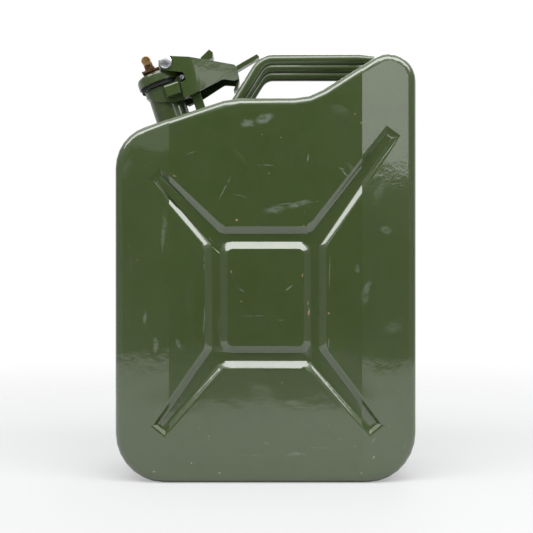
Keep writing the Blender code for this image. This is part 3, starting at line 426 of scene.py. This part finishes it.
def wobble(tree, position, scale, size):
    """A small random shift of the position, so that marks get ragged edges."""
    made = add_node(tree, "ShaderNodeTexNoise")
    tree.links.new(position, made.inputs["Vector"])
    set_input(made, "Scale", scale)
    centred = add_node(tree, "ShaderNodeVectorMath", operation="SUBTRACT")
    tree.links.new(made.outputs["Color"], centred.inputs[0])
    set_input(centred, 1, (0.5, 0.5, 0.5))
    scaled = add_node(tree, "ShaderNodeVectorMath", operation="SCALE")
    tree.links.new(centred.outputs["Vector"], scaled.inputs[0])
    set_input(scaled, "Scale", size)
    return scaled.outputs["Vector"]


def add_bump(tree, height, edge_radius=0.0):
    """The surface normal with the height on it, and with round edges where a radius is given."""
    bump = add_node(tree, "ShaderNodeBump")
    set_input(bump, "Distance", 1.0)
    tree.links.new(height, bump.inputs["Height"])
    if edge_radius:
        bevel = add_node(tree, "ShaderNodeBevel", samples=BEVEL_SAMPLES)
        set_input(bevel, "Radius", edge_radius)
        tree.links.new(bevel.outputs["Normal"], bump.inputs["Normal"])
    return bump.outputs["Normal"]


def green_enamel(name, settings, wear, dents, coat=1.55, marked=False, edge_radius=0.0):
    """Glossy dark green enamel with faded patches, rubbed scuffs, scratches and chips; where marked, also a
    painted highlight arc in the scuff colour.
    """
    made, tree, shader = new_material(name)
    position = add_node(tree, "ShaderNodeTexCoord").outputs["Object"]
    broad = noise(tree, position, BROAD)
    mottled = noise(tree, position, MOTTLED)
    streaks = noise(tree, position, STREAKS)
    deep = (*settings.green, 1)
    faded = (*settings.faded_green, 1)
    darker = (*(part * DARKER_TONE for part in settings.green), 1)
    colour = mix_colour(tree, noise_range(tree, broad, FADED_RANGE), deep, faded)
    colour = mix_colour(tree, noise_range(tree, mottled, DARKER_RANGE, DARKER_SHARE), colour, darker)
    colour = mix_colour(tree, noise_range(tree, streaks, STREAK_RANGE, STREAK_SHARE), colour, faded)
    rubbed = noise(tree, position, RUBBED)
    patches = noise(tree, position, PATCHES)
    scuffs_and_highlight = calculate(
        tree,
        "MULTIPLY",
        noise_range(tree, rubbed, RUBBED_RANGE),
        noise_range(tree, patches, RUBBED_PATCH_RANGE, wear),
    )
    chips = calculate(
        tree,
        "MULTIPLY",
        noise_range(tree, noise(tree, position, FLAKES), FLAKE_RANGE),
        noise_range(tree, patches, FLAKE_PATCH_RANGE, wear),
    )
    if marked:
        position = turned_to_front(tree, position)
        placed = marks(tree, position, FRONT_SCUFFS, wobble(tree, position, *SCUFF_WOBBLE))
        grain = noise_range(tree, rubbed, GRAIN_RANGE)
        scuffs_and_highlight = calculate(tree, "MAXIMUM", scuffs_and_highlight, calculate(tree, "MULTIPLY", placed, grain))
        # Scratches, and two rows that paint a highlight arc in the same pale colour
        scratches_and_highlight = marks(tree, position, FRONT_SCRATCHES_AND_HIGHLIGHT, wobble(tree, position, *SCRATCH_AND_HIGHLIGHT_WOBBLE))
        broken = noise_range(tree, noise(tree, position, BREAKS), BREAK_RANGE)
        scuffs_and_highlight = calculate(tree, "MAXIMUM", scuffs_and_highlight, calculate(tree, "MULTIPLY", scratches_and_highlight, broken))
        spots = marks(tree, position, FRONT_CHIPS, wobble(tree, position, *CHIP_WOBBLE))
        chips = calculate(tree, "MAXIMUM", chips, spots)
    cover = calculate(tree, "MULTIPLY", scuffs_and_highlight, SCUFF_AND_HIGHLIGHT_COVER)
    colour = mix_colour(tree, cover, colour, (*settings.scuff_and_highlight, 1))
    colour = mix_colour(tree, chips, colour, (*settings.primer, 1))
    tree.links.new(colour, shader.inputs["Base Color"])
    gloss = remap(tree, mottled, *GLOSS_RANGE, settings.gloss, settings.gloss + GLOSS_SPREAD)
    dulled = calculate(tree, "MULTIPLY", scuffs_and_highlight, SCUFF_DULLING)
    gloss = calculate(tree, "ADD", gloss, dulled, clamp=True)
    tree.links.new(gloss, shader.inputs["Roughness"])
    set_input(shader, "IOR", ENAMEL_IOR)
    set_input(shader, "Coat Weight", 1.0)
    set_input(shader, "Coat IOR", coat)
    set_input(shader, "Coat Roughness", COAT_ROUGHNESS)
    height = 0.0
    for pattern, size in ((PEEL, PEEL_HEIGHT), (WAVES, dents * MM), (RIPPLE, RIPPLE_HEIGHT)):
        raised = calculate(tree, "MULTIPLY", noise(tree, position, pattern), size)
        height = calculate(tree, "ADD", height, raised)
    cut = calculate(tree, "MULTIPLY", calculate(tree, "MAXIMUM", chips, scuffs_and_highlight), WEAR_DEPTH)
    normal = add_bump(tree, calculate(tree, "SUBTRACT", height, cut), edge_radius)
    tree.links.new(normal, shader.inputs["Normal"])
    tree.links.new(normal, shader.inputs["Coat Normal"])
    return made


def plated(name, bright, dull, roughness, edge_radius):
    """A plated metal with cloudy tarnish and fine scratches."""
    made, tree, shader = new_material(name)
    position = add_node(tree, "ShaderNodeTexCoord").outputs["Object"]
    cloud = noise(tree, position, CLOUD)
    tarnish = noise_range(tree, cloud, TARNISH_RANGE)
    tree.links.new(mix_colour(tree, tarnish, (*bright, 1), (*dull, 1)), shader.inputs["Base Color"])
    set_input(shader, "Metallic", 1.0)
    gloss = remap(tree, cloud, *DULL_RANGE, roughness, roughness + METAL_DULLING)
    tree.links.new(gloss, shader.inputs["Roughness"])
    height = calculate(
        tree,
        "ADD",
        calculate(tree, "MULTIPLY", noise(tree, position, PITS), PIT_HEIGHT),
        calculate(tree, "MULTIPLY", noise(tree, position, LINES), LINE_HEIGHT),
    )
    tree.links.new(add_bump(tree, height, edge_radius), shader.inputs["Normal"])
    return made


def rubber(name, colour):
    """Matt rubber with dust on it."""
    made, tree, shader = new_material(name)
    position = add_node(tree, "ShaderNodeTexCoord").outputs["Object"]
    dust = noise(tree, position, DUST)
    grey = tuple(part * DUST_GAIN + DUST_TONE for part in colour)
    shade = mix_colour(tree, noise_range(tree, dust, DUST_RANGE), (*colour, 1), (*grey, 1))
    tree.links.new(shade, shader.inputs["Base Color"])
    tree.links.new(remap(tree, dust, *DULL_RANGE, *RUBBER_ROUGHNESS), shader.inputs["Roughness"])
    height = calculate(tree, "MULTIPLY", dust, DUST_HEIGHT)
    tree.links.new(add_bump(tree, height), shader.inputs["Normal"])
    return made


def new_shaper(name):
    """A group of geometry nodes with the mesh as its only input, for use in a modifier."""
    tree = bpy.data.node_groups.new(name, "GeometryNodeTree")
    tree.is_modifier = True
    tree.interface.new_socket("Geometry", in_out="INPUT", socket_type="NodeSocketGeometry")
    tree.interface.new_socket("Geometry", in_out="OUTPUT", socket_type="NodeSocketGeometry")
    mesh = add_node(tree, "NodeGroupInput").outputs[0]
    parts = add_node(tree, "ShaderNodeSeparateXYZ")
    tree.links.new(add_node(tree, "GeometryNodeInputPosition").outputs[0], parts.inputs[0])
    return tree, mesh, parts.outputs


def soft_pressing():
    """Evens the slope of the pressed walls and lets the upper arms run out softly in the side strips."""
    tree, mesh, place = new_shaper("soft_pressing")
    x, y, z = place
    across = calculate(tree, "ABSOLUTE", x)
    out = calculate(tree, "ABSOLUTE", y)

    def all_of(*tests):
        joined = 1.0
        for operation, value, limit in tests:
            joined = calculate(tree, "MULTIPLY", joined, calculate(tree, operation, value, limit))
        return joined

    depth = calculate(tree, "DIVIDE", calculate(tree, "SUBTRACT", HALF_DEPTH, out), PRESS_DEPTH)
    wall = all_of(
        ("LESS_THAN", across, CREASE_X - MM / 2),
        ("GREATER_THAN", z, PRESS_LOW),
        ("LESS_THAN", z, PRESS_HIGH),
        ("GREATER_THAN", depth, 0.0),
        ("LESS_THAN", depth, 1.0),
    )
    wave = calculate(tree, "SINE", calculate(tree, "MULTIPLY", depth, math.tau))
    shift = calculate(tree, "MULTIPLY", calculate(tree, "MULTIPLY", wave, wall), SLOPE_SHIFT)
    out = calculate(tree, "SUBTRACT", out, shift)
    beyond = calculate(tree, "MAXIMUM", calculate(tree, "SUBTRACT", across, CREASE_X), 0.0)
    set_back = calculate(tree, "MULTIPLY", beyond, math.tan(STRIP_TILT))
    skin = calculate(tree, "SUBTRACT", HALF_DEPTH, set_back)
    sunk = calculate(tree, "SUBTRACT", skin, out)
    right = calculate(tree, "GREATER_THAN", x, 0.0)
    highest = calculate(tree, "ADD", ARM_HIGH, calculate(tree, "MULTIPLY", right, RIGHT_ARM_RISE))
    arm = all_of(
        ("GREATER_THAN", z, ARM_LOW),
        ("LESS_THAN", z, highest),
        ("LESS_THAN", across, ARM_LIMIT_X),
        ("GREATER_THAN", sunk, LEAST_SUNK),
    )
    longer = calculate(tree, "MULTIPLY", right, RIGHT_ARM_LONGER)
    reach = calculate(tree, "ADD", CREASE_X + ARM_FADE, longer)
    fade = remap(tree, across, CREASE_X, reach, 0.0, ARM_FADE_SHARE)
    filled = calculate(tree, "MULTIPLY", sunk, calculate(tree, "MULTIPLY", fade, arm))
    out = calculate(tree, "ADD", out, filled)
    moved = add_node(tree, "ShaderNodeCombineXYZ")
    tree.links.new(x, moved.inputs[0])
    tree.links.new(calculate(tree, "MULTIPLY", out, calculate(tree, "SIGN", y)), moved.inputs[1])
    tree.links.new(z, moved.inputs[2])
    placed = add_node(tree, "GeometryNodeSetPosition")
    tree.links.new(mesh, placed.inputs["Geometry"])
    tree.links.new(moved.outputs[0], placed.inputs["Position"])
    tree.links.new(placed.outputs[0], add_node(tree, "NodeGroupOutput").inputs[0])
    return tree


def round_shading(name, limit, crease):
    """Shades edges flatter than the limit as one round surface; only a crease at that width stays sharp."""
    tree, mesh, place = new_shaper(f"round_{name}")
    joined = add_node(tree, "GeometryNodeMergeByDistance")
    set_input(joined, "Distance", MERGE_DISTANCE)
    tree.links.new(mesh, joined.inputs[0])
    plain = add_node(tree, "GeometryNodeRemoveAttribute")
    set_input(plain, "Name", "custom_normal")
    tree.links.new(joined.outputs[0], plain.inputs[0])
    faces = add_node(tree, "GeometryNodeSetShadeSmooth", domain="FACE")
    set_input(faces, "Shade Smooth", True)
    tree.links.new(plain.outputs[0], faces.inputs[0])
    edges = add_node(tree, "GeometryNodeSetShadeSmooth", domain="EDGE")
    tree.links.new(faces.outputs[0], edges.inputs[0])
    angle = add_node(tree, "GeometryNodeInputMeshEdgeAngle").outputs["Unsigned Angle"]
    across = calculate(tree, "ABSOLUTE", place["X"])
    from_crease = calculate(tree, "ABSOLUTE", calculate(tree, "SUBTRACT", across, crease))
    smooth = calculate(
        tree,
        "MULTIPLY",
        calculate(tree, "LESS_THAN", angle, math.radians(limit)),
        calculate(tree, "GREATER_THAN", from_crease, CREASE_TOLERANCE),
    )
    tree.links.new(smooth, edges.inputs["Shade Smooth"])
    tree.links.new(edges.outputs[0], add_node(tree, "NodeGroupOutput").inputs[0])
    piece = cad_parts[name]
    piece.modifiers.new("round_shading", "NODES").node_group = tree
    weighted = piece.modifiers.new("weighted_normals", "WEIGHTED_NORMAL")
    weighted.keep_sharp = True


def dress(nodes, finish):
    """Puts one finish on every slot of the nodes."""
    for name in nodes:
        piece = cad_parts[name]
        if not piece.material_slots:
            raise RuntimeError(f"{name} has no material slot")
        for holder in piece.material_slots:
            holder.material = finish


class CanPaint(bpy.types.PropertyGroup):
    green: bpy.props.FloatVectorProperty(
        name="Green",
        description="Colour of the enamel where it is deepest",
        subtype="COLOR",
        size=3,
        min=0,
        max=1,
        default=(0.0395, 0.067, 0.0105),
    )
    faded_green: bpy.props.FloatVectorProperty(
        name="Faded green",
        description="Colour of the enamel where it is faded",
        subtype="COLOR",
        size=3,
        min=0,
        max=1,
        default=(0.0445, 0.074, 0.014),
    )
    # Also the colour of the painted highlight arc on the body's middle panels
    scuff_and_highlight: bpy.props.FloatVectorProperty(
        name="Scuff",
        description="Colour of rubbed paint",
        subtype="COLOR",
        size=3,
        min=0,
        max=1,
        default=(0.17, 0.21, 0.153),
    )
    primer: bpy.props.FloatVectorProperty(
        name="Primer",
        description="Colour of the primer in a chip",
        subtype="COLOR",
        size=3,
        min=0,
        max=1,
        default=(0.36, 0.25, 0.15),
    )
    gloss: bpy.props.FloatProperty(
        name="Gloss",
        description="Roughness of the enamel under its glossy top",
        subtype="FACTOR",
        min=0,
        max=1,
        default=0.3,
    )


class CanStudio(bpy.types.PropertyGroup):
    distance: bpy.props.FloatProperty(
        name="Camera distance",
        description="From the camera to the middle of the can",
        unit="LENGTH",
        default=1.138,
    )
    height: bpy.props.FloatProperty(
        name="Camera height",
        description="Height of the camera above the floor",
        unit="LENGTH",
        default=0.2368,
    )
    lens: bpy.props.FloatProperty(
        name="Lens",
        description="Focal length in millimetres on a 36 mm wide sensor",
        default=64.37,
    )
    floor_radius: bpy.props.FloatProperty(
        name="Floor radius",
        description="How far the pale floor reaches around the can",
        unit="LENGTH",
        default=1.6,
    )


class FUELCAN_OT_paint_body(bpy.types.Operator):
    """Paints the two shells and the weld between them"""

    bl_idname = "fuelcan.paint_body"
    bl_label = "Paint body"

    def execute(self, context):
        paint = context.scene.can_paint
        finish = green_enamel("body_enamel", paint, wear=0.35, dents=0.7, coat=1.78, marked=True)
        dress(BODY_NODES, finish)
        shaper = soft_pressing()
        for name in ("shell_front", "shell_rear"):
            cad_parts[name].modifiers.new("soft_pressing", "NODES").node_group = shaper
            round_shading(name, SHELL_ROUND_LIMIT, CREASE_X)
        return {"FINISHED"}


class FUELCAN_OT_paint_handles(bpy.types.Operator):
    """Paints the three carrying handles"""

    bl_idname = "fuelcan.paint_handles"
    bl_label = "Paint handles"

    def execute(self, context):
        paint = context.scene.can_paint
        dress(HANDLE_NODES, green_enamel("handle_enamel", paint, wear=0.8, dents=0.2))
        for name in HANDLE_NODES:
            round_shading(name, HANDLE_ROUND_LIMIT, NO_CREASE)
        return {"FINISHED"}


class FUELCAN_OT_paint_closure(bpy.types.Operator):
    """Paints the spout, its bracket, the cap and the lever"""

    bl_idname = "fuelcan.paint_closure"
    bl_label = "Paint closure"

    def execute(self, context):
        paint = context.scene.can_paint
        finish = green_enamel("closure_enamel", paint, wear=0.9, dents=0.25, edge_radius=0.6 * MM)
        dress(CLOSURE_NODES, finish)
        for name in CLOSURE_NODES:
            round_shading(name, CLOSURE_ROUND_LIMIT, NO_CREASE)
        return {"FINISHED"}


class FUELCAN_OT_plate_fittings(bpy.types.Operator):
    """Gives the rivets, pins, strip and hidden steel their plating"""

    bl_idname = "fuelcan.plate_fittings"
    bl_label = "Plate fittings"

    def execute(self, context):
        for nodes, name, bright, dull, roughness, edge_radius in METALS:
            dress(nodes, plated(name, bright, dull, roughness, edge_radius))
        return {"FINISHED"}


class FUELCAN_OT_colour_gasket(bpy.types.Operator):
    """Gives the cap's gasket its dusty black rubber"""

    bl_idname = "fuelcan.colour_gasket"
    bl_label = "Colour gasket"

    def execute(self, context):
        dress(RUBBER_NODES, rubber("gasket_rubber", RUBBER_COLOUR))
        return {"FINISHED"}


def add_softbox(name, place, target, size, watts):
    """A rectangular lamp that looks at the target and doesn't show in the picture."""
    data = bpy.data.lights.new(name, "AREA")
    data.shape = "RECTANGLE"
    data.size, data.size_y = size
    data.energy = watts
    made = bpy.data.objects.new(name, data)
    bpy.context.scene.collection.objects.link(made)
    made.location = place
    made.rotation_euler = (Vector(target) - Vector(place)).to_track_quat("-Z", "Y").to_euler()
    made.visible_camera = False


def add_sheet(name, low, high):
    """A flat rectangle at floor height between two corners."""
    mesh = bpy.data.meshes.new(name)
    corners = [(low[0], low[1], 0), (high[0], low[1], 0), (high[0], high[1], 0), (low[0], high[1], 0)]
    mesh.from_pydata(corners, [], [(0, 1, 2, 3)])
    made = bpy.data.objects.new(name, mesh)
    bpy.context.scene.collection.objects.link(made)
    return made


def fade_out(tree, shader, shown):
    """Mixes the surface with a clear one by how much of it is shown."""
    clear = add_node(tree, "ShaderNodeBsdfTransparent")
    mixed = add_node(tree, "ShaderNodeMixShader")
    tree.links.new(shown, mixed.inputs[0])
    tree.links.new(clear.outputs[0], mixed.inputs[1])
    tree.links.new(shader.outputs[0], mixed.inputs[2])
    tree.links.new(mixed.outputs[0], tree.nodes["Material Output"].inputs["Surface"])


class FUELCAN_OT_set_stage(bpy.types.Operator):
    """Adds the pale floor, the soft lights, the background and the camera"""

    bl_idname = "fuelcan.set_stage"
    bl_label = "Set stage"

    def execute(self, context):
        scene = context.scene
        studio = scene.can_studio
        self.add_floor(studio)
        self.add_flag()
        self.add_background(scene)
        middle = (0, 0, BODY_HIGH.z / 2)
        for name, place, size, watts in SOFTBOXES:
            add_softbox(name, place, middle, size, watts)
        self.add_camera(scene, studio)
        scene.view_settings.view_transform = "Standard"
        return {"FINISHED"}

    def add_floor(self, studio):
        """A round pale floor that fades out softly in the picture, so no edge shows behind the can."""
        reach = studio.floor_radius * FLOOR_MESH_SHARE
        floor = add_sheet("floor", (-reach, -reach), (reach, reach))
        made, tree, shader = new_material("studio_floor")
        set_input(shader, "Base Color", FLOOR_COLOUR)
        set_input(shader, "Roughness", 0.8)
        set_input(shader, "Specular IOR Level", 0.1)
        position = add_node(tree, "ShaderNodeTexCoord").outputs["Object"]
        length = add_node(tree, "ShaderNodeVectorMath", operation="LENGTH")
        tree.links.new(position, length.inputs[0])
        away = length.outputs["Value"]
        radius = studio.floor_radius
        edge = remap(tree, away, radius, radius * FLOOR_EDGE_SHARE)
        faded = remap(tree, away, radius * FLOOR_GONE_SHARE, FLOOR_NEAR, 0.0, FLOOR_SHOWN)
        seen = add_node(tree, "ShaderNodeLightPath").outputs["Is Camera Ray"]
        mixed = add_node(tree, "ShaderNodeMix")
        for name, value in (("Factor", seen), ("A", edge), ("B", faded)):
            tree.links.new(value, mixed.inputs[name])
        fade_out(tree, shader, mixed.outputs["Result"])
        floor.data.materials.append(made)

    def add_flag(self):
        """A dark card on the floor near the camera, seen only in the gloss of the front face."""
        flag = add_sheet("flag", FLAG_LOW, FLAG_HIGH)
        flag.location.z = MM
        flag.visible_camera = False
        flag.visible_shadow = False
        flag.visible_diffuse = False
        made, tree, shader = new_material("dark_card")
        set_input(shader, "Base Color", FLAG_COLOUR)
        set_input(shader, "Roughness", 1)
        parts = add_node(tree, "ShaderNodeSeparateXYZ")
        tree.links.new(add_node(tree, "ShaderNodeTexCoord").outputs["Object"], parts.inputs[0])
        across = calculate(tree, "ABSOLUTE", parts.outputs["X"])
        shown = calculate(
            tree,
            "MULTIPLY",
            remap(tree, parts.outputs["Y"], *FLAG_FADE_Y),
            remap(tree, across, *FLAG_FADE_X),
        )
        fade_out(tree, shader, shown)
        flag.data.materials.append(made)

    def add_background(self, scene):
        """White in the picture; for light, a bright dome over a dimmer room that is darkest in front."""
        world = bpy.data.worlds.new("studio")
        world.use_nodes = True
        scene.world = world
        tree = world.node_tree
        tree.nodes.clear()
        direction = add_node(tree, "ShaderNodeSeparateXYZ")
        tree.links.new(add_node(tree, "ShaderNodeTexCoord").outputs["Generated"], direction.inputs[0])
        dome = remap(tree, direction.outputs["Z"], *DOME_RANGE, ROOM_LIGHT, DOME_LIGHT)
        front = calculate(
            tree,
            "MULTIPLY",
            remap(tree, direction.outputs["Y"], *FRONT_RANGE_Y),
            remap(tree, direction.outputs["Z"], *FRONT_RANGE_Z),
        )
        strength = add_node(tree, "ShaderNodeMix")
        for name, value in (("Factor", front), ("A", dome), ("B", FRONT_LIGHT)):
            feed(tree, strength.inputs[name], value)
        lit = add_node(tree, "ShaderNodeBackground")
        set_input(lit, "Color", DOME_COLOUR)
        tree.links.new(strength.outputs["Result"], lit.inputs["Strength"])
        seen = add_node(tree, "ShaderNodeBackground")
        set_input(seen, "Color", (1, 1, 1, 1))
        paths = add_node(tree, "ShaderNodeLightPath")
        glossy, clear = (paths.outputs[name] for name in ("Is Glossy Ray", "Is Transmission Ray"))
        gloss = calculate(tree, "MAXIMUM", glossy, clear)
        backdrop = remap(tree, direction.outputs["Y"], *BACKDROP_RANGE, 0.0, BACKDROP_SHARE)
        behind = calculate(tree, "MULTIPLY", gloss, backdrop)
        mixed = add_node(tree, "ShaderNodeMixShader")
        output = add_node(tree, "ShaderNodeOutputWorld")
        tree.links.new(calculate(tree, "MAXIMUM", paths.outputs["Is Camera Ray"], behind), mixed.inputs[0])
        tree.links.new(lit.outputs[0], mixed.inputs[1])
        tree.links.new(seen.outputs[0], mixed.inputs[2])
        tree.links.new(mixed.outputs[0], output.inputs["Surface"])

    def add_camera(self, scene, studio):
        data = bpy.data.cameras.new("camera")
        data.lens = studio.lens
        data.sensor_width = SENSOR_WIDTH
        data.shift_x, data.shift_y = CAMERA_SHIFT
        made = bpy.data.objects.new("camera", data)
        scene.collection.objects.link(made)
        made.location = (0, -studio.distance, studio.height)
        made.rotation_euler = (math.radians(90), 0, 0)
        scene.camera = made


class FUELCAN_PT_looks(bpy.types.Panel):
    """Lists the steps that dress the fuel can"""

    bl_idname = "FUELCAN_PT_looks"
    bl_label = "Fuel Can"
    bl_space_type = "VIEW_3D"
    bl_region_type = "UI"
    bl_category = "Fuel Can"

    def draw(self, context):
        for settings in (context.scene.can_paint, context.scene.can_studio):
            for name in settings.__annotations__:
                self.layout.prop(settings, name)
        for step in STEPS:
            self.layout.operator(step.bl_idname)


STEPS = (
    FUELCAN_OT_paint_body,
    FUELCAN_OT_paint_handles,
    FUELCAN_OT_paint_closure,
    FUELCAN_OT_plate_fittings,
    FUELCAN_OT_colour_gasket,
    FUELCAN_OT_set_stage,
)
CLASSES = (CanPaint, CanStudio, *STEPS, FUELCAN_PT_looks)


def register():
    for made in CLASSES:
        bpy.utils.register_class(made)
    bpy.types.Scene.can_paint = bpy.props.PointerProperty(type=CanPaint)
    bpy.types.Scene.can_studio = bpy.props.PointerProperty(type=CanStudio)


def unregister():
    del bpy.types.Scene.can_studio
    del bpy.types.Scene.can_paint
    for made in reversed(CLASSES):
        bpy.utils.unregister_class(made)


def main():
    register()
    for step in STEPS:
        group, name = step.bl_idname.split(".")
        getattr(getattr(bpy.ops, group), name)()


if __name__ == "__main__":
    main()
